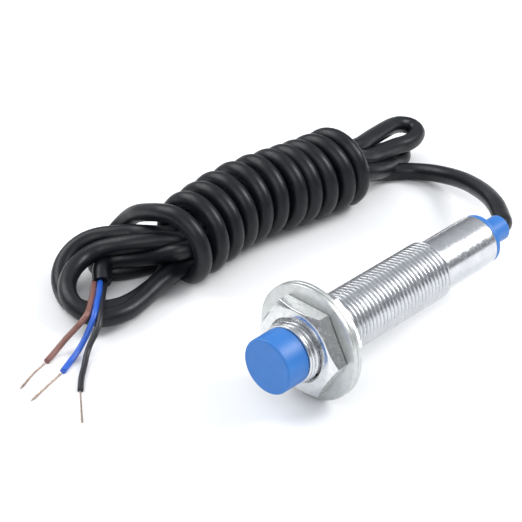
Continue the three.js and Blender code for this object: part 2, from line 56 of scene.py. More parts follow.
def make_camera():
    data = bpy.data.cameras.new("camera")
    data.lens = CAMERA_LENS
    data.sensor_width = SENSOR_WIDTH
    data.clip_start = 0.01
    data.clip_end = 20
    camera = bpy.data.objects.new("camera", data)
    camera.location = CAMERA_PLACE
    camera.rotation_euler = CAMERA_FORWARD.to_track_quat("-Z", "Y").to_euler()
    bpy.context.scene.collection.objects.link(camera)
    bpy.context.scene.camera = camera


make_camera()
bpy.context.scene.view_settings.view_transform = "Standard"

# ---- Dimensions of the table, the cable, its hank and the wires ----

TABLE = -11.7
CABLE_DIAMETER = 3.7
CABLE_ON_TABLE = TABLE + CABLE_DIAMETER / 2
BOSS_END = 67.6
HANK_HEIGHT = TABLE + 8.85
HANK_LEFT = np.array([-44.9, 22.5, HANK_HEIGHT])
HANK_RIGHT = np.array([-42.8, 68.5, HANK_HEIGHT])
# The hank is bowed away from the sensor: how far at most, at which station, and over what width.
HANK_BOW = 3.3
HANK_BOW_STATION = 43
HANK_BOW_WIDTH = 14.5
WIRE_DIAMETER = 1.2
WIRE_ON_TABLE = TABLE + WIRE_DIAMETER / 2
STRAND_DIAMETER = 0.16
# How far apart the points of a finished route are.
CABLE_SPACING = 0.8
WIRE_SPACING = 0.6
STRAND_SPACING = 0.5


# ---- Cords ----

def smooth_route(points, spacing):
    """Points about every `spacing` along a centripetal Catmull-Rom curve through the given points."""
    points = [np.array(point, float) for point in points]
    first = 2 * points[0] - points[1]
    last = 2 * points[-1] - points[-2]
    padded = [first, *points, last]
    route = []
    for a, b, c, d in zip(padded, padded[1:], padded[2:], padded[3:]):
        knots = [0.0]
        for start, end in ((a, b), (b, c), (c, d)):
            knots.append(knots[-1] + math.sqrt(np.linalg.norm(end - start)))
        steps = max(2, round(np.linalg.norm(c - b) / spacing))
        for step in range(steps):
            t = knots[1] + (knots[2] - knots[1]) * step / steps
            ab = a + (b - a) * (t - knots[0]) / (knots[1] - knots[0])
            bc = b + (c - b) * (t - knots[1]) / (knots[2] - knots[1])
            cd = c + (d - c) * (t - knots[2]) / (knots[3] - knots[2])
            abc = ab + (bc - ab) * (t - knots[0]) / (knots[2] - knots[0])
            bcd = bc + (cd - bc) * (t - knots[1]) / (knots[3] - knots[1])
            route.append(abc + (bcd - abc) * (t - knots[1]) / (knots[2] - knots[1]))
    route.append(points[-1])
    return route


def make_cord_curve(name, route, diameter, sides=8):
    """A round cord along the route, which is in millimetres."""
    data = bpy.data.curves.new(name, "CURVE")
    data.dimensions = "3D"
    # The thickness is in the points' radii: a curve's bounding box grows by them, and they are 1 m if left.
    data.bevel_depth = 1
    data.bevel_resolution = sides
    data.use_fill_caps = True
    spline = data.splines.new("POLY")
    spline.points.add(len(route) - 1)
    for point, place in zip(spline.points, route):
        point.co = (*(place * MM), 1)
        point.radius = diameter / 2 * MM
    spline.use_smooth = True
    cord = bpy.data.objects.new(name, data)
    bpy.context.scene.collection.objects.link(cord)
    return cord


def hank_point(station, angle, radius):
    """A point at a Y station, turned by an angle in degrees from the hank's right side towards its top."""
    share = (station - HANK_LEFT[1]) / (HANK_RIGHT[1] - HANK_LEFT[1])
    centre = HANK_LEFT + share * (HANK_RIGHT - HANK_LEFT)
    bow = HANK_BOW * math.exp(-(((station - HANK_BOW_STATION) / HANK_BOW_WIDTH) ** 2))
    centre = centre - np.array([bow, 0, 0])
    turn = math.radians(angle)
    return centre + np.array([radius * math.cos(turn), 0, radius * math.sin(turn)])


# The six straight runs inside the hank, in the order the cable takes them: each one's (x, z) place from
# the hank's middle, at the left end and at the right end.
RUNS = {
    "first": ((2.1, -4.2), (1.75, -3.03)),
    "second": ((0.2, 0.6), (-1.75, 3.03)),
    "third": ((-1.5, -4.3), (1.75, 3.03)),
    "fourth": ((-4.6, -3), (-1.75, -3.03)),
    "fifth": ((-3.4, 0.2), (-3.5, 0)),
    "sixth": ((3.5, 0), (3.5, 0)),
}
# The stations that every run spans.
RUN_LEFT = 24.5
RUN_RIGHT = 68
POINTS_PER_RUN = 6


def run_points(name, rightwards):
    """One run's points, in the direction that the cable takes it."""
    left, right = RUNS[name]
    points = []
    for step in range(POINTS_PER_RUN):
        share = step / (POINTS_PER_RUN - 1)
        middle = hank_point(RUN_LEFT + share * (RUN_RIGHT - RUN_LEFT), 0, 0)
        x = left[0] + share * (right[0] - left[0])
        z = left[1] + share * (right[1] - left[1])
        points.append(middle + np.array([x, 0, z]))
    return points if rightwards else points[::-1]


# The points listed from here to the wires were picked in the photograph, with heights given one by one.
# A scratch script made millimetres of them through the fitted camera, and some were then moved.

# From the boss the cable bends left, down to the table and back into the hank; its first part lies
# close to the CAD's cable lead.
LEAD = [
    (0, BOSS_END, 0),
    (-0.3, 69.1, 0),
    (-2.7, 71.7, -0.5),
    (-6.9, 75.5, -1.2),
    (-11.7, 79.3, -2.6),
    (-17.4, 83, -4.4),
    (-23.4, 86.1, -6.3),
    (-28.9, 87.9, -8),
    (-34, 88.1, -9.2),
    (-38.1, 86.7, CABLE_ON_TABLE),
    (-40.8, 84, CABLE_ON_TABLE),
    (-42.1, 81.2, -9.4),
    (-42.5, 78, -8.4),
    (-42, 74, -7.2),
]
# Left end: the loop in front, in which the first run comes back as the second.
FRONT_LEFT_LOOP = [
    (-43.9, 20.9, -7.4),
    (-43.4, 18.1, -7.6),
    (-43.1, 15.4, -7.8),
    (-42.4, 11.9, -8.1),
    (-41.7, 8.5, -8.3),
    (-41.3, 4.7, -8.4),
    (-42, 1.5, -8.4),
    (-43.8, -0.8, -8.3),
    (-46.5, -1.9, -7.8),
    (-49.4, -1.8, -7.1),
    (-52.3, -0.5, -6.5),
    (-55.2, 2.4, -6.1),
    (-57.2, 6, -5.7),
    (-57.8, 9.5, -5.2),
    (-57, 12.4, -4.5),
    (-54.9, 14.6, -3.7),
    (-52.3, 16.5, -2.9),
    (-49.7, 18.9, -2.4),
    (-47.5, 21.5, -2.2),
]
# Right end: the big loop, in which the second run comes back as the third; it rests on the small bend.
BIG_RIGHT_LOOP = [
    (-43.8, 74.6, -1.2),
    (-45.4, 81.1, -2.4),
    (-47.1, 87.5, -3.6),
    (-48.3, 92.2, -4.7),
    (-48.1, 94.8, -5.3),
    (-46.5, 96.4, -5.9),
    (-44.4, 95.6, -6.2),
    (-43, 92.9, -6.2),
    (-42.6, 90, -6),
    (-42.8, 87.1, -5.6),
    (-42.5, 83, -4.9),
    (-41.8, 78.4, -4),
    (-40.9, 74.1, -2.6),
]
# From the third run's left end the cable turns back on the table and climbs to the leftmost turn.
CLIMB_TO_TURNS = [
    (-48.6, 24.2, -8.6),
    (-50.3, 23.4, -9.5),
    (-51.8, 21.4, CABLE_ON_TABLE),
    (-52.9, 18.6, CABLE_ON_TABLE),
    (-54.1, 16.3, CABLE_ON_TABLE),
    (-55.5, 14.5, CABLE_ON_TABLE),
    (-57.2, 13.6, CABLE_ON_TABLE),
    (-59.4, 14, CABLE_ON_TABLE),
    (-61.2, 15.9, -9.7),
    (-62.2, 18.6, -8.7),
    (-62, 21, -6.8),
    (-60.6, 22.6, -4.2),
    (-58.2, 22.9, -1.6),
    (-55.4, 22.5, 0.4),
]
# Left end: the outer loop, in which the fourth run comes back as the fifth.
OUTER_LEFT_LOOP = [
    (-47.8, 22.2, -8.8),
    (-46.2, 18, CABLE_ON_TABLE),
    (-45.2, 13.6, CABLE_ON_TABLE),
    (-44.8, 10, CABLE_ON_TABLE),
    (-45.1, 6.9, CABLE_ON_TABLE),
    (-46.2, 4.3, CABLE_ON_TABLE),
    (-47.8, 2.1, CABLE_ON_TABLE),
    (-50, 0.9, CABLE_ON_TABLE),
    (-53.3, 1, CABLE_ON_TABLE),
    (-57, 2.6, CABLE_ON_TABLE),
    (-59.7, 4.3, -9),
    (-61.3, 6.2, -7.8),
    (-62.2, 8.6, -6.5),
    (-62.3, 11.2, -5.4),
    (-61.5, 13.6, -4.5),
    (-59.9, 15.6, -3.8),
    (-57.4, 17.4, -3.2),
    (-54.7, 19.6, -2.8),
    (-51.9, 21, -2.4),
]
# Right end: the small bend on the table, in which the fifth run comes back as the sixth.
SMALL_RIGHT_BEND = [
    (-46.2, 72, -3.6),
    (-46, 76, -5.2),
    (-46.2, 82, -7.4),
    (-48, 86.4, -8.8),
    (-48.6, 89.2, CABLE_ON_TABLE),
    (-47.6, 91.4, CABLE_ON_TABLE),
    (-45.4, 91.8, CABLE_ON_TABLE),
    (-43.7, 90, CABLE_ON_TABLE),
    (-42.9, 86.9, -9.6),
    (-41.6, 83.2, -8.6),
    (-39.4, 76.2, -6),
    (-38.9, 72.5, -4.4),
]
# The sixth run turns down over the strands on the table and ends as the cable's tail.
TAIL = [
    (-43.4, 21.6, -3.2),
    (-45.8, 20.5, -4.2),
    (-48.3, 19.4, -5.2),
    (-50.8, 18.1, -6.1),
    (-53, 16.7, -6.6),
    (-54.7, 15.3, -6.9),
    (-55.7, 13.8, -7.1),
    (-55.6, 12.2, -7.3),
    (-54.7, 10.8, -7.6),
    (-53.6, 9.8, -8.1),
    (-52.6, 8.9, -8.6),
]
# The eleven turns, listed from the right end to the left although the cable takes them the other way:
# the stations where each passes its lowest and its highest point.
TURN_RADIUS = 7
LOWEST_ANGLE = -49.4
TURN_BOTTOMS = [67.6, 63.9, 59.1, 54.9, 51.3, 46.5, 42.4, 38.2, 33.5, 28.3, 23.5]
TURN_TOPS = [67.2, 63, 59.2, 56, 52.6, 48.6, 43.8, 38.2, 33.2, 28.4, 21.6]
POINTS_PER_HALF_TURN = 8
# The right end of the turns comes out of the bundle: each point's station, angle and distance from the axis.
TURNS_RIGHT_END = [(62, 240, 3.6), (66, 243, 4), (69, 254, 5.4), (69.8, 274, 6.7), (69, 293, 7)]


def turn_points():
    """The turns from right to left, half a turn at a time."""
    points = [hank_point(station, angle, radius) for station, angle, radius in TURNS_RIGHT_END]
    for index, (bottom, top) in enumerate(zip(TURN_BOTTOMS, TURN_TOPS)):
        last = index == len(TURN_BOTTOMS) - 1
        halves = [(bottom, top, LOWEST_ANGLE)]
        if not last:
            halves.append((top, TURN_BOTTOMS[index + 1], LOWEST_ANGLE + 180))
        for start, end, angle in halves:
            for step in range(POINTS_PER_HALF_TURN):
                share = step / POINTS_PER_HALF_TURN
                station = start + (end - start) * share
                points.append(hank_point(station, angle + 180 * share, TURN_RADIUS))
    return points


# The fourth run leaves out its first point, because the turns join it further to the left.
cable_points = [
    *LEAD,
    *run_points("first", False),
    *FRONT_LEFT_LOOP,
    *run_points("second", True),
    *BIG_RIGHT_LOOP,
    *run_points("third", False),
    *CLIMB_TO_TURNS,
    *turn_points()[::-1],
    *run_points("fourth", False)[1:],
    *OUTER_LEFT_LOOP,
    *run_points("fifth", True),
    *SMALL_RIGHT_BEND,
    *run_points("sixth", False),
    *TAIL,
]
cable_route = smooth_route(cable_points, CABLE_SPACING)
cable = make_cord_curve("cable", cable_route, CABLE_DIAMETER)

# Each wire starts about 2 mm inside the jacket, passes over the loops and comes down to the table. The
# bare part lies on the table, so its points are (x, y).
WIRES = {
    "brown": {
        "insulated": [
            (-54.4, 9.5, -7.9),
            (-53.6, 7.8, -8.5),
            (-49.3, 3.3, -7.4),
            (-45.6, -0.8, -6.3),
            (-42.9, -4.2, -5.7),
            (-42.8, -5.8, -6.6),
            (-43.4, -6.9, -7.9),
            (-43.9, -8.5, -9.2),
            (-44, -10.4, -10.3),
            (-43.6, -12.7, -11),
            (-42.9, -14.8, WIRE_ON_TABLE),
        ],
        "bare": [(-42.6, -15.6), (-41.6, -19.5), (-39.7, -24.3)],
    },
    "blue": {
        "insulated": [
            (-53.9, 10.5, -7.6),
            (-52.9, 8.8, -8.3),
            (-49, 4.8, -7.4),
            (-45.5, 0.9, -6.4),
            (-42.4, -2.5, -5.7),
            (-41.5, -4.1, -6.6),
            (-41.2, -5.4, -7.9),
            (-41, -6.8, -9.3),
            (-40.5, -8.8, -10.4),
            (-39.7, -11.5, WIRE_ON_TABLE),
            (-38.2, -15, WIRE_ON_TABLE),
        ],
        "bare": [(-37.9, -15.7), (-36.7, -20.5), (-35.3, -25.6)],
    },
    "black": {
        "insulated": [
            (-53.3, 10.7, -8.3),
            (-52.2, 9.3, -8.9),
            (-48.2, 5.1, -7.8),
            (-44.5, 1.3, -6.7),
            (-41.3, -2.1, -6),
            (-39.8, -4, -6.7),
            (-39.2, -5.6, -7.8),
            (-39, -7, -9),
            (-38.4, -8.5, -10.1),
            (-36.3, -11.3, -10.9),
            (-33.9, -14.3, WIRE_ON_TABLE),
            (-31.3, -17, WIRE_ON_TABLE),
        ],
        "bare": [(-30.8, -17.5), (-27.3, -20.6), (-23.4, -24)],
    },
}
STRANDS_PER_WIRE = 7
STRAND_RING = 0.17
STRAND_TWIST = 7
STRAND_SPREAD = 0.5


def make_strands(color, bare):
    """The bare end: fine strands twisted loosely round the middle one, their tips apart."""
    middle = smooth_route([(x, y, WIRE_ON_TABLE) for x, y in bare], STRAND_SPACING)
    total = len(middle) - 1
    collected = bmesh.new()
    for strand in range(STRANDS_PER_WIRE):
        route = []
        for index, place in enumerate(middle):
            share = index / total
            angle = 2 * math.pi * strand / (STRANDS_PER_WIRE - 1) + STRAND_TWIST * share
            ring = 0 if strand == STRANDS_PER_WIRE - 1 else STRAND_RING * (1 + STRAND_SPREAD * share ** 3)
            offset = np.array([ring * math.cos(angle), 0, ring * math.sin(angle)])
            route.append(place + offset)
        # Strands end up to two points short, so that the tips aren't level.
        route = route[: total + 1 - strand % 3]
        curve = make_cord_curve("strand_curve", route, STRAND_DIAMETER, 2)
        mesh = bpy.data.meshes.new_from_object(curve)
        collected.from_mesh(mesh)
        bpy.data.objects.remove(curve)
        bpy.data.meshes.remove(mesh)
    return mesh_object(f"bare_strands_{color}", collected)


def mesh_object(name, made):
    """A bmesh, in metres, as an object with smooth faces."""
    mesh = bpy.data.meshes.new(name)
    bmesh.ops.recalc_face_normals(made, faces=made.faces)
    made.to_mesh(mesh)
    made.free()
    mesh.shade_smooth()
    piece = bpy.data.objects.new(name, mesh)
    bpy.context.scene.collection.objects.link(piece)
    return piece


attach(cable, "housing")
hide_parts("cable_lead", "cable_hank")
wires = {}
strands = {}
for color, places in WIRES.items():
    route = smooth_route(places["insulated"], WIRE_SPACING)
    wire = make_cord_curve(f"insulated_wire_{color}", route, WIRE_DIAMETER, 6)
    bare_end = make_strands(color, places["bare"])
    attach(wire, "housing")
    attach(bare_end, "housing")
    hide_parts(f"wire_{color}")
    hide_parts(f"strands_{color}")
    wires[color] = wire
    strands[color] = bare_end

# ---- Turned and threaded metal ----

FACETS = 128
SHARP_ANGLE = math.radians(28)


def lathe(made, profile, facets=FACETS):
    """A closed profile of (radius, station) corners turned about the Y axis, in millimetres."""
    rings = []
    for radius, station in profile:
        ring = []
        for index in range(facets):
            angle = 2 * math.pi * index / facets
            place = (radius * math.sin(angle) * MM, station * MM, radius * math.cos(angle) * MM)
            ring.append(made.verts.new(place))
        rings.append(ring)
    for ring, other in zip(rings, rings[1:] + rings[:1]):
        for index in range(facets):
            after = (index + 1) % facets
            made.faces.new((ring[index], ring[after], other[after], other[index]))


def arc(centre, radius, start, end, steps=4):
    """Profile corners along an arc; angles are in degrees from the outward radius towards +Y."""
    corners = []
    for step in range(steps + 1):
        angle = math.radians(start + (end - start) * step / steps)
        corners.append((centre[0] + radius * math.cos(angle), centre[1] + radius * math.sin(angle)))
    return corners


def metal_object(name, made):
    """A turned or stamped piece: smooth faces with its corners kept sharp."""
    piece = mesh_object(name, made)
    piece.data.set_sharp_from_angle(angle=SHARP_ANGLE)
    return piece


BORE = 4.75
THREAD_CREST = 5.95
THREAD_ROOT = 5.37
THREAD_FRONT = 6.2
THREAD_REAR = 45.9
PITCH = 1
# One pitch of the thread: shares of the pitch, each with its share of the way from root to crest.
THREAD_SHAPE = [
    (0, 0),
    (0.07, 0.03),
    (0.2, 0.36),
    (0.36, 0.86),
    (0.43, 0.98),
    (0.5, 1),
    (0.57, 0.98),
    (0.64, 0.86),
    (0.8, 0.36),
    (0.93, 0.03),
]
# The skin is made longer than the thread and then cut; it starts this many pitches early.
THREAD_SPARE = 1.5
# The thread starts a little inside the collar and runs out at the rear, where the crests slope down.
COLLAR_OVERLAP = 0.1
RUN_OUT_DEPTH = 0.1
RUN_OUT_SLOPE = 1.2


def add_thread(made):
    """The helical outer skin of the threaded length, cut square at both ends and closed to the bore."""
    rows = []
    turns = math.ceil((THREAD_REAR - THREAD_FRONT) / PITCH) + 2
    for turn in range(turns):
        for share, rise in THREAD_SHAPE:
            radius = THREAD_ROOT + (THREAD_CREST - THREAD_ROOT) * rise
            row = []
            for index in range(FACETS):
                angle = 2 * math.pi * index / FACETS
                station = THREAD_FRONT + PITCH * (turn + share + index / FACETS - THREAD_SPARE)
                run_out = THREAD_ROOT - RUN_OUT_DEPTH + max(0, THREAD_REAR - station) * RUN_OUT_SLOPE
                held = min(radius, run_out)
                place = (held * math.sin(angle) * MM, station * MM, held * math.cos(angle) * MM)
                row.append(made.verts.new(place))
            rows.append(row)
    per_turn = len(THREAD_SHAPE)
    for index, row in enumerate(rows[:-1]):
        above = rows[index + 1]
        for column in range(FACETS - 1):
            made.faces.new((row[column], row[column + 1], above[column + 1], above[column]))
        if index + per_turn + 1 < len(rows):
            wrapped = rows[index + per_turn]
            wrapped_above = rows[index + per_turn + 1]
            made.faces.new((row[-1], wrapped[0], wrapped_above[0], above[-1]))
    for station, normal in ((THREAD_FRONT - COLLAR_OVERLAP, (0, -1, 0)), (THREAD_REAR, (0, 1, 0))):
        geometry = made.verts[:] + made.edges[:] + made.faces[:]
        cut = bmesh.ops.bisect_plane(
            made, geom=geometry, plane_co=(0, station * MM, 0), plane_no=normal, clear_outer=True
        )
        rim = [item for item in cut["geom_cut"] if isinstance(item, bmesh.types.BMEdge)]
        inner = bmesh.ops.extrude_edge_only(made, edges=rim)["geom"]
        for vertex in inner:
            if isinstance(vertex, bmesh.types.BMVert):
                reach = math.hypot(vertex.co.x, vertex.co.z)
                vertex.co.x *= BORE * MM / reach
                vertex.co.z *= BORE * MM / reach


COLLAR_RADIUS = 5.85
COLLAR_START = 5.5
COLLAR_END = 6.25
SMOOTH_RADIUS = 5.25
SMOOTH_OVERLAP = 0.4
BARREL_END = 60.3
BARREL_ROUNDING = 0.2


def make_barrel():
    """The barrel: a plain collar in front, the thread, and a thinner smooth length at the rear."""
    made = bmesh.new()
    add_thread(made)
    lathe(made, [
        (BORE, COLLAR_START),
        (COLLAR_RADIUS - 0.25, COLLAR_START),
        (COLLAR_RADIUS - 0.07, COLLAR_START + 0.08),
        (COLLAR_RADIUS, COLLAR_START + 0.25),
        (COLLAR_RADIUS, COLLAR_END - 0.2),
        (COLLAR_RADIUS - 0.07, COLLAR_END - 0.05),
        (COLLAR_RADIUS - 0.35, COLLAR_END),
        (BORE, COLLAR_END),
    ])
    rounding_centre = (SMOOTH_RADIUS - BARREL_ROUNDING, BARREL_END - BARREL_ROUNDING)
    lathe(made, [
        (BORE, THREAD_REAR - SMOOTH_OVERLAP),
        (SMOOTH_RADIUS, THREAD_REAR - SMOOTH_OVERLAP),
        (SMOOTH_RADIUS, BARREL_END - 0.25),
        *arc(rounding_centre, BARREL_ROUNDING, 0, 90),
        (BORE, BARREL_END),
    ])
    return metal_object("threaded_barrel", made)


NUT_ACROSS_FLATS = 17
NUT_THICKNESS = 3.3
NUT_FACE_RADIUS = 8.25
NUT_MOUTH_RADIUS = 6.55
NUT_THREAD_RADIUS = 5.6
NUT_FACETS = 180
NUT_EDGE = 0.1
CHAMFER_SLOPE = math.tan(math.radians(30))
# The mouth's thread: rings at equal depths, in turn at the root and at the crest.
RIDGE_RINGS = 6
RIDGE_START = 0.55
RIDGE_SPACING = 0.44
RIDGE_DEPTH = 0.4


def make_nut(name, start, corner_angle, outer_face_in_front):
    """A hex nut: one face coned at the corners, a countersink at both ends of the hole and ridges in it."""
    made = bmesh.new()
    columns = []
    for index in range(NUT_FACETS):
        angle = 360 * index / NUT_FACETS
        from_flat = (angle + 30) % 60 - 30
        flat_radius = NUT_ACROSS_FLATS / 2 / math.cos(math.radians(30 - abs(from_flat)))
        cone_depth = max(0, flat_radius - NUT_FACE_RADIUS) * CHAMFER_SLOPE
        column = [
            (NUT_MOUTH_RADIUS, 0),
            (NUT_FACE_RADIUS - 0.12, 0),
            (NUT_FACE_RADIUS, 0.02),
            ((NUT_FACE_RADIUS + flat_radius) / 2, cone_depth / 2 + 0.01),
            (flat_radius - 0.04, cone_depth - 0.02),
            (flat_radius, cone_depth + 0.05),
            (flat_radius, NUT_THICKNESS - NUT_EDGE),
            (flat_radius - NUT_EDGE, NUT_THICKNESS),
            (NUT_MOUTH_RADIUS, NUT_THICKNESS),
        ]
        for ridge in range(RIDGE_RINGS):
            depth = NUT_THICKNESS - RIDGE_START - RIDGE_SPACING * ridge
            wave = RIDGE_DEPTH if ridge % 2 == 0 else 0
            column.append((NUT_THREAD_RADIUS + wave, depth))
        turn = math.radians(corner_angle + angle)
        ring = []
        for radius, depth in column:
            station = start + depth if outer_face_in_front else start + NUT_THICKNESS - depth
            place = (radius * math.cos(turn) * MM, station * MM, radius * math.sin(turn) * MM)
            ring.append(made.verts.new(place))
        columns.append(ring)
    count = len(columns[0])
    for index, ring in enumerate(columns):
        after = columns[(index + 1) % NUT_FACETS]
        for row in range(count):
            beyond = (row + 1) % count
            made.faces.new((ring[row], ring[beyond], after[beyond], after[row]))
    return metal_object(name, made)


WASHER_RADIUS = 11.7
WASHER_HOLE = 6.25
WASHER_THICKNESS = 0.8
WASHER_HOLE_EDGE = 0.08
ROLLED_EDGE = 0.24
SHEARED_EDGE = 0.12


def make_washer(name, start):
    """A stamped washer: a rolled edge on one side, a sheared one on the other."""
    end = start + WASHER_THICKNESS
    made = bmesh.new()
    lathe(made, [
        (WASHER_HOLE, start + WASHER_HOLE_EDGE),
        (WASHER_HOLE + WASHER_HOLE_EDGE, start),
        *arc((WASHER_RADIUS - ROLLED_EDGE, start + ROLLED_EDGE), ROLLED_EDGE, -90, 0),
        *arc((WASHER_RADIUS - SHEARED_EDGE, end - SHEARED_EDGE), SHEARED_EDGE, 0, 90, 3),
        (WASHER_HOLE + WASHER_HOLE_EDGE, end),
        (WASHER_HOLE, end - WASHER_HOLE_EDGE),
    ])
    return metal_object(name, made)


def make_front_cap():
    """The sensing cap: flat face, softly rounded rim, and the sleeve that holds it in the barrel."""
    made = bmesh.new()
    cap_radius = 5.55
    rounding = 0.42
    cap_end = 5.4
    chamfer = 0.1
    sleeve = 4.6
    sleeve_end = 12
    cavity = 4.15
    face_thickness = 1
    # The face closes on a pinhole, because a ring of the lathe can't have a radius of 0.
    pinhole = 0.01
    lathe(made, [
        (pinhole, 0),
        (cap_radius - rounding - 0.02, 0),
        *arc((cap_radius - rounding, rounding), rounding, -88, 0, 6),
        (cap_radius, cap_end - chamfer),
        (cap_radius - chamfer, cap_end),
        (sleeve, cap_end),
        (sleeve, sleeve_end),
        (cavity, sleeve_end),
        (cavity, face_thickness),
        (pinhole, face_thickness),
    ])
    return metal_object("blue_sensing_cap", made)


def make_back_cap():
    """The rear cap: a thin rim against the barrel, a concave neck and the boss that holds the cable."""
    made = bmesh.new()
    fillet = 2.3
    boss = 2.6
    rim = 5.1
    rim_start = 60.4
    rim_end = 61.5
    plug = 4.6
    plug_start = 56
    cavity = 3.9
    cavity_end = 58.8
    cable_hole = 1.95
    neck_steps = 10
    neck = []
    for step in range(neck_steps + 1):
        angle = math.radians(90 * step / neck_steps)
        neck.append((boss + fillet * (1 - math.sin(angle)), rim_end + fillet * (1 - math.cos(angle))))
    lathe(made, [
        (cavity, plug_start),
        (plug, plug_start),
        (plug, rim_start),
        (rim, rim_start),
        *arc((rim - 0.2, rim_end - 0.2), 0.2, 0, 80),
        *neck,
        *arc((boss - 0.25, BOSS_END - 0.25), 0.25, 0, 90),
        (cable_hole, BOSS_END),
        (cable_hole, cavity_end),
        (cavity, cavity_end),
    ])
    return metal_object("blue_rear_cap", made)


FRONT_NUT_START = 7.6
FRONT_WASHER_START = 11
REAR_WASHER_START = 11.9
REAR_NUT_START = 12.8
# Where a corner of each nut points, in degrees from +X towards +Z.
FRONT_NUT_CORNER = 58.5
REAR_NUT_CORNER = 9.5

# By the CAD node that each replaces: the piece, its body and its slot.
hardware = {
    "barrel": (make_barrel(), "housing", "nickel_brass"),
    "sensing_cap": (make_front_cap(), "housing", "blue_plastic"),
    "rear_cap": (make_back_cap(), "housing", "blue_plastic"),
    "front_nut": (
        make_nut("hex_nut_front", FRONT_NUT_START, FRONT_NUT_CORNER, True),
        "front_nut",
        "nickel_brass",
    ),
    "rear_nut": (
        make_nut("hex_nut_rear", REAR_NUT_START, REAR_NUT_CORNER, False),
        "rear_nut",
        "nickel_brass",
    ),
    "front_washer": (make_washer("flat_washer_front", FRONT_WASHER_START), "front_washer", "zinc_steel"),
    "rear_washer": (make_washer("flat_washer_rear", REAR_WASHER_START), "rear_washer", "zinc_steel"),
}
for node, (piece, body, slot) in hardware.items():
    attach(piece, body)
    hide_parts(node)


# ---- Materials ----

class Material:
    """A procedural material: short calls that add nodes and join them to the shader."""

    def __init__(self, name, roughness, metallic=0.0, specular=0.5):
        self.material = bpy.data.materials.new(name)
        self.material.use_nodes = True
        self.nodes = self.material.node_tree.nodes
        self.links = self.material.node_tree.links
        self.shader = self.nodes["Principled BSDF"]
        self.shader.inputs["Roughness"].default_value = roughness
        self.shader.inputs["Metallic"].default_value = metallic
        self.shader.inputs["Specular IOR Level"].default_value = specular
        self.place = self.nodes.new("ShaderNodeTexCoord").outputs["Object"]
        self.bump_chain = None

    def noise(self, scale, detail=3.0, roughness=0.55, stretch=None, distortion=0.0):
        """Noise with features about 1 / scale millimetres across."""
        node = self.nodes.new("ShaderNodeTexNoise")
        node.inputs["Scale"].default_value = scale / MM
        node.inputs["Detail"].default_value = detail
        node.inputs["Roughness"].default_value = roughness
        node.inputs["Distortion"].default_value = distortion
        place = self.place
        if stretch:
            mapping = self.nodes.new("ShaderNodeMapping")
            mapping.inputs["Scale"].default_value = stretch
            self.links.new(place, mapping.inputs["Vector"])
            place = mapping.outputs["Vector"]
        self.links.new(place, node.inputs["Vector"])
        return node.outputs["Fac"]

    def ramp(self, value, stops):
        """Colours at positions along a value; each stop is (position, (r, g, b))."""
        node = self.nodes.new("ShaderNodeValToRGB")
        elements = node.color_ramp.elements
        while len(elements) < len(stops):
            elements.new(0.5)
        for element, (position, color) in zip(elements, stops):
            element.position = position
            element.color = (*color, 1)
        self.links.new(value, node.inputs["Fac"])
        return node.outputs["Color"]

    def range(self, value, low, high, start=0.3, end=0.7):
        """A value between start and end, moved to lie between low and high."""
        node = self.nodes.new("ShaderNodeMapRange")
        node.inputs["From Min"].default_value = start
        node.inputs["From Max"].default_value = end
        node.inputs["To Min"].default_value = low
        node.inputs["To Max"].default_value = high
        self.links.new(value, node.inputs["Value"])
        return node.outputs["Result"]

    def color(self, value, stops):
        self.links.new(self.ramp(value, stops), self.shader.inputs["Base Color"])

    def roughness(self, value, low, high):
        self.links.new(self.range(value, low, high), self.shader.inputs["Roughness"])

    def bump(self, value, depth, strength=1.0):
        """Relief of the given depth in millimetres, added to any relief already there."""
        node = self.nodes.new("ShaderNodeBump")
        node.inputs["Strength"].default_value = strength
        node.inputs["Distance"].default_value = depth * MM
        self.links.new(value, node.inputs["Height"])
        if self.bump_chain:
            self.links.new(self.bump_chain, node.inputs["Normal"])
        self.bump_chain = node.outputs["Normal"]
        self.links.new(self.bump_chain, self.shader.inputs["Normal"])


def shades(color, spread):
    """Two stops round a colour: darker and lighter by the given share."""
    darker = tuple(channel * (1 - spread) for channel in color)
    lighter = tuple(min(1, channel * (1 + spread)) for channel in color)
    return [(0.3, darker), (0.7, lighter)]


def nickel_plate():
    """Bright nickel over turned brass: fine lathe lines round the axis and faint cloudy patches."""
    made = Material("nickel_plate", 0.2, 1.0)
    cloud = made.noise(0.5, 3)
    made.color(cloud, [(0.3, (0.58, 0.59, 0.61)), (0.7, (0.67, 0.68, 0.69))])
    made.roughness(made.noise(1.4, 4), 0.16, 0.3)
    made.bump(made.noise(9, 2, stretch=(0.06, 1, 0.06)), 0.004, 0.5)
    made.bump(made.noise(0.9, 2), 0.006, 0.25)
    return made.material


def nut_plate():
    """The nuts' plating is a little rougher, with small handling marks."""
    made = Material("nut_plate", 0.24, 1.0)
    made.color(made.noise(0.7, 4), [(0.3, (0.64, 0.65, 0.65)), (0.7, (0.76, 0.76, 0.76))])
    made.roughness(made.noise(1.1, 5), 0.16, 0.3)
    made.bump(made.noise(0.6, 3), 0.012, 0.3)
    made.bump(made.noise(6, 3, distortion=1), 0.003, 0.4)
    return made.material


def zinc_plate():
    """Satin zinc on stamped steel, mottled."""
    made = Material("zinc_plate", 0.34, 1.0)
    made.color(made.noise(0.8, 5), [(0.3, (0.54, 0.56, 0.55)), (0.7, (0.66, 0.67, 0.66))])
    made.roughness(made.noise(1.3, 5), 0.3, 0.48)
    made.bump(made.noise(2.4, 5), 0.02, 0.4)
    return made.material


def moulded_blue():
    """Blue moulded plastic with a very fine spark-eroded grain."""
    made = Material("moulded_blue", 0.42, 0.0)
    made.color(made.noise(0.35, 3), [(0.3, (0.02, 0.145, 0.46)), (0.7, (0.026, 0.165, 0.5))])
    made.roughness(made.noise(3, 3), 0.36, 0.48)
    made.bump(made.noise(8, 3), 0.006, 0.5)
    return made.material


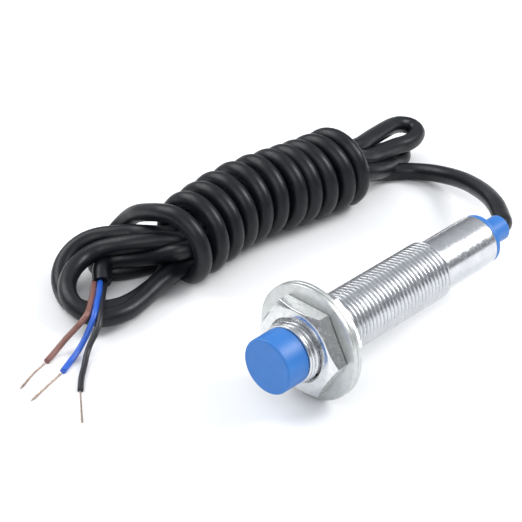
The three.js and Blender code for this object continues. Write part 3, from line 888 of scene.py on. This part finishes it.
def jacket_black():
    """Black PVC jacket: smooth satin, with the faint lengthwise unevenness of an extruded skin."""
    made = Material("jacket_black", 0.36, 0.0, 0.3)
    made.color(made.noise(0.5, 4), [(0.3, (0.004, 0.0047, 0.0065)), (0.7, (0.0065, 0.0075, 0.01))])
    made.roughness(made.noise(1.2, 4), 0.3, 0.44)
    made.bump(made.noise(1.6, 3), 0.012, 0.3)
    made.bump(made.noise(7, 2), 0.003, 0.4)
    return made.material


def plain_plastic(name, color, roughness, spread=0.12, grain=3.0, depth=0.005, specular=0.5):
    """A moulded or extruded plastic with slight colour, gloss and surface variation."""
    made = Material(name, roughness, 0.0, specular)
    made.color(made.noise(0.8, 4), shades(color, spread))
    made.roughness(made.noise(grain, 3), roughness * 0.85, roughness * 1.15)
    made.bump(made.noise(grain * 2, 3), depth, 0.5)
    return made.material


def metal(name, color, roughness, spread=0.12, depth=0.01):
    """A bare metal with slight colour, gloss and surface variation."""
    made = Material(name, roughness, 1.0)
    made.color(made.noise(1.5, 4), shades(color, spread))
    made.roughness(made.noise(2.5, 4), roughness * 0.8, roughness * 1.25)
    made.bump(made.noise(5, 3), depth, 0.5)
    return made.material


def fibreglass_green():
    """Solder-masked laminate: the glass weave shows as a faint grid, with darker and lighter islands."""
    made = Material("fibreglass_green", 0.4, 0.0)
    weave = made.nodes.new("ShaderNodeTexWave")
    weave.inputs["Scale"].default_value = 1.3 / MM
    made.links.new(made.place, weave.inputs["Vector"])
    made.color(made.noise(0.6, 5), [(0.3, (0.012, 0.09, 0.035)), (0.7, (0.02, 0.15, 0.06))])
    made.roughness(made.noise(2, 3), 0.34, 0.5)
    made.bump(weave.outputs["Fac"], 0.01, 0.4)
    return made.material


def wound_copper():
    """Enamelled wire laid turn beside turn: fine ridges along the coil's axis."""
    made = Material("wound_copper", 0.3, 0.85)
    turns = made.nodes.new("ShaderNodeTexWave")
    turns.bands_direction = "Y"
    turns.inputs["Scale"].default_value = 1.2 / MM
    made.links.new(made.place, turns.inputs["Vector"])
    made.color(made.noise(2, 3), [(0.3, (0.38, 0.11, 0.03)), (0.7, (0.52, 0.19, 0.06))])
    made.roughness(made.noise(3, 3), 0.24, 0.4)
    made.bump(turns.outputs["Fac"], 0.06, 0.8)
    return made.material


def paint(piece, material):
    piece.data.materials.clear()
    piece.data.materials.append(material)


nickel = nickel_plate()
nut_nickel = nut_plate()
zinc = zinc_plate()
blue = moulded_blue()
black = jacket_black()
copper = wound_copper()
chip_resin = plain_plastic("chip_resin", (0.012, 0.012, 0.013), 0.55, 0.25, 5)
wire_plastics = {
    "brown": plain_plastic("brown_insulation", (0.2, 0.088, 0.07), 0.42),
    "blue": plain_plastic("blue_insulation", (0.018, 0.1, 0.5), 0.4),
    "black": plain_plastic("black_insulation", (0.012, 0.012, 0.016), 0.4),
}
hardware_paint = {
    "barrel": nickel,
    "sensing_cap": blue,
    "rear_cap": blue,
    "front_nut": nut_nickel,
    "rear_nut": nut_nickel,
    "front_washer": zinc,
    "rear_washer": zinc,
}
for node, material in hardware_paint.items():
    paint(hardware[node][0], material)
paint(cable, black)
tinned = metal("tinned_copper", (0.52, 0.42, 0.36), 0.35, 0.2)
for color, wire in wires.items():
    paint(wire, wire_plastics[color])
    paint(strands[color], tinned)

inner_paint = {
    "ferrite_core": plain_plastic("sintered_ferrite", (0.03, 0.028, 0.03), 0.7, 0.25, 4, 0.02),
    "coil_bobbin": plain_plastic("bobbin_nylon", (0.72, 0.68, 0.55), 0.5),
    "coil_winding": copper,
    "coil_lead_left": copper,
    "coil_lead_right": copper,
    "circuit_board": fibreglass_green(),
    "tuning_capacitor": plain_plastic("ceramic_tan", (0.5, 0.33, 0.18), 0.5, 0.15),
    "oscillator_chip": chip_resin,
    "output_transistor": chip_resin,
    "feedback_resistor": plain_plastic("resistor_glaze", (0.02, 0.021, 0.024), 0.3, 0.3),
    "bias_resistor": plain_plastic("resistor_glaze_second", (0.022, 0.022, 0.026), 0.3, 0.3),
    "protection_diode": plain_plastic("diode_glass", (0.32, 0.06, 0.03), 0.15, 0.2),
    "indicator_led": plain_plastic("led_epoxy", (0.6, 0.04, 0.03), 0.18, 0.1),
    "filter_capacitor": plain_plastic("tantalum_epoxy", (0.62, 0.36, 0.06), 0.45, 0.15),
    "potting_plug": plain_plastic("potting_epoxy", (0.035, 0.037, 0.042), 0.55, 0.3, 1.5, 0.03),
    "core_wire_brown": wire_plastics["brown"],
    "core_wire_blue": wire_plastics["blue"],
    "core_wire_black": wire_plastics["black"],
    "cable_stub": black,
}
for node, material in inner_paint.items():
    paint(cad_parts[node], material)

# ---- Studio: pale floor, large soft lights ----

FLOOR_SIZE = 3
FLOOR_GAP = 0.00002


def make_floor():
    """One flat pale sheet, a hair below the height at which the part rests."""
    made = bmesh.new()
    half = FLOOR_SIZE / 2
    level = TABLE * MM - FLOOR_GAP
    corners = [(-half, -half), (half, -half), (half, half), (-half, half)]
    made.faces.new([made.verts.new((x, y, level)) for x, y in corners])
    floor = mesh_object("floor", made)
    sheet = Material("floor_paper", 0.9, 0.0, 0.1)
    sheet.color(sheet.noise(0.02, 2), [(0.3, (0.86, 0.865, 0.87)), (0.7, (0.89, 0.89, 0.89))])
    paint(floor, sheet.material)


def make_light(name, place, target, size, power, tint=(1, 1, 1)):
    """A rectangular soft light aimed at a point; its power is in watts."""
    data = bpy.data.lights.new(name, "AREA")
    data.shape = "RECTANGLE"
    data.size, data.size_y = size
    data.energy = power
    data.color = tint
    light = bpy.data.objects.new(name, data)
    light.location = Vector(place)
    aim = Vector(target) - light.location
    light.rotation_euler = aim.to_track_quat("-Z", "Y").to_euler()
    bpy.context.scene.collection.objects.link(light)


def make_world():
    """The surroundings: grey from eye level down, brightening to nearly white overhead."""
    world = bpy.data.worlds.new("studio")
    world.use_nodes = True
    nodes = world.node_tree.nodes
    links = world.node_tree.links
    background = nodes["Background"]
    background.inputs["Strength"].default_value = 0.9
    direction = nodes.new("ShaderNodeTexCoord").outputs["Generated"]
    parts = nodes.new("ShaderNodeSeparateXYZ")
    ramp = nodes.new("ShaderNodeValToRGB")
    ramp.color_ramp.elements[0].position = 0.15
    ramp.color_ramp.elements[0].color = (0.27, 0.28, 0.3, 1)
    ramp.color_ramp.elements[1].position = 0.9
    ramp.color_ramp.elements[1].color = (0.85, 0.88, 0.93, 1)
    links.new(direction, parts.inputs["Vector"])
    links.new(parts.outputs["Z"], ramp.inputs["Fac"])
    links.new(ramp.outputs["Color"], background.inputs["Color"])
    bpy.context.scene.world = world


STUDIO_TARGET = (-0.02, 0.03, 0)
make_floor()
make_world()
make_light("back_softbox", (0.36, 0.5, 0.55), STUDIO_TARGET, (0.34, 0.4), 4.8)
make_light("left_softbox", (-0.55, -0.1, 0.5), STUDIO_TARGET, (0.6, 0.5), 3.4)
make_light("front_softbox", (0.35, -0.6, 0.6), STUDIO_TARGET, (0.7, 0.6), 3)

bpy.context.evaluated_depsgraph_get().update()
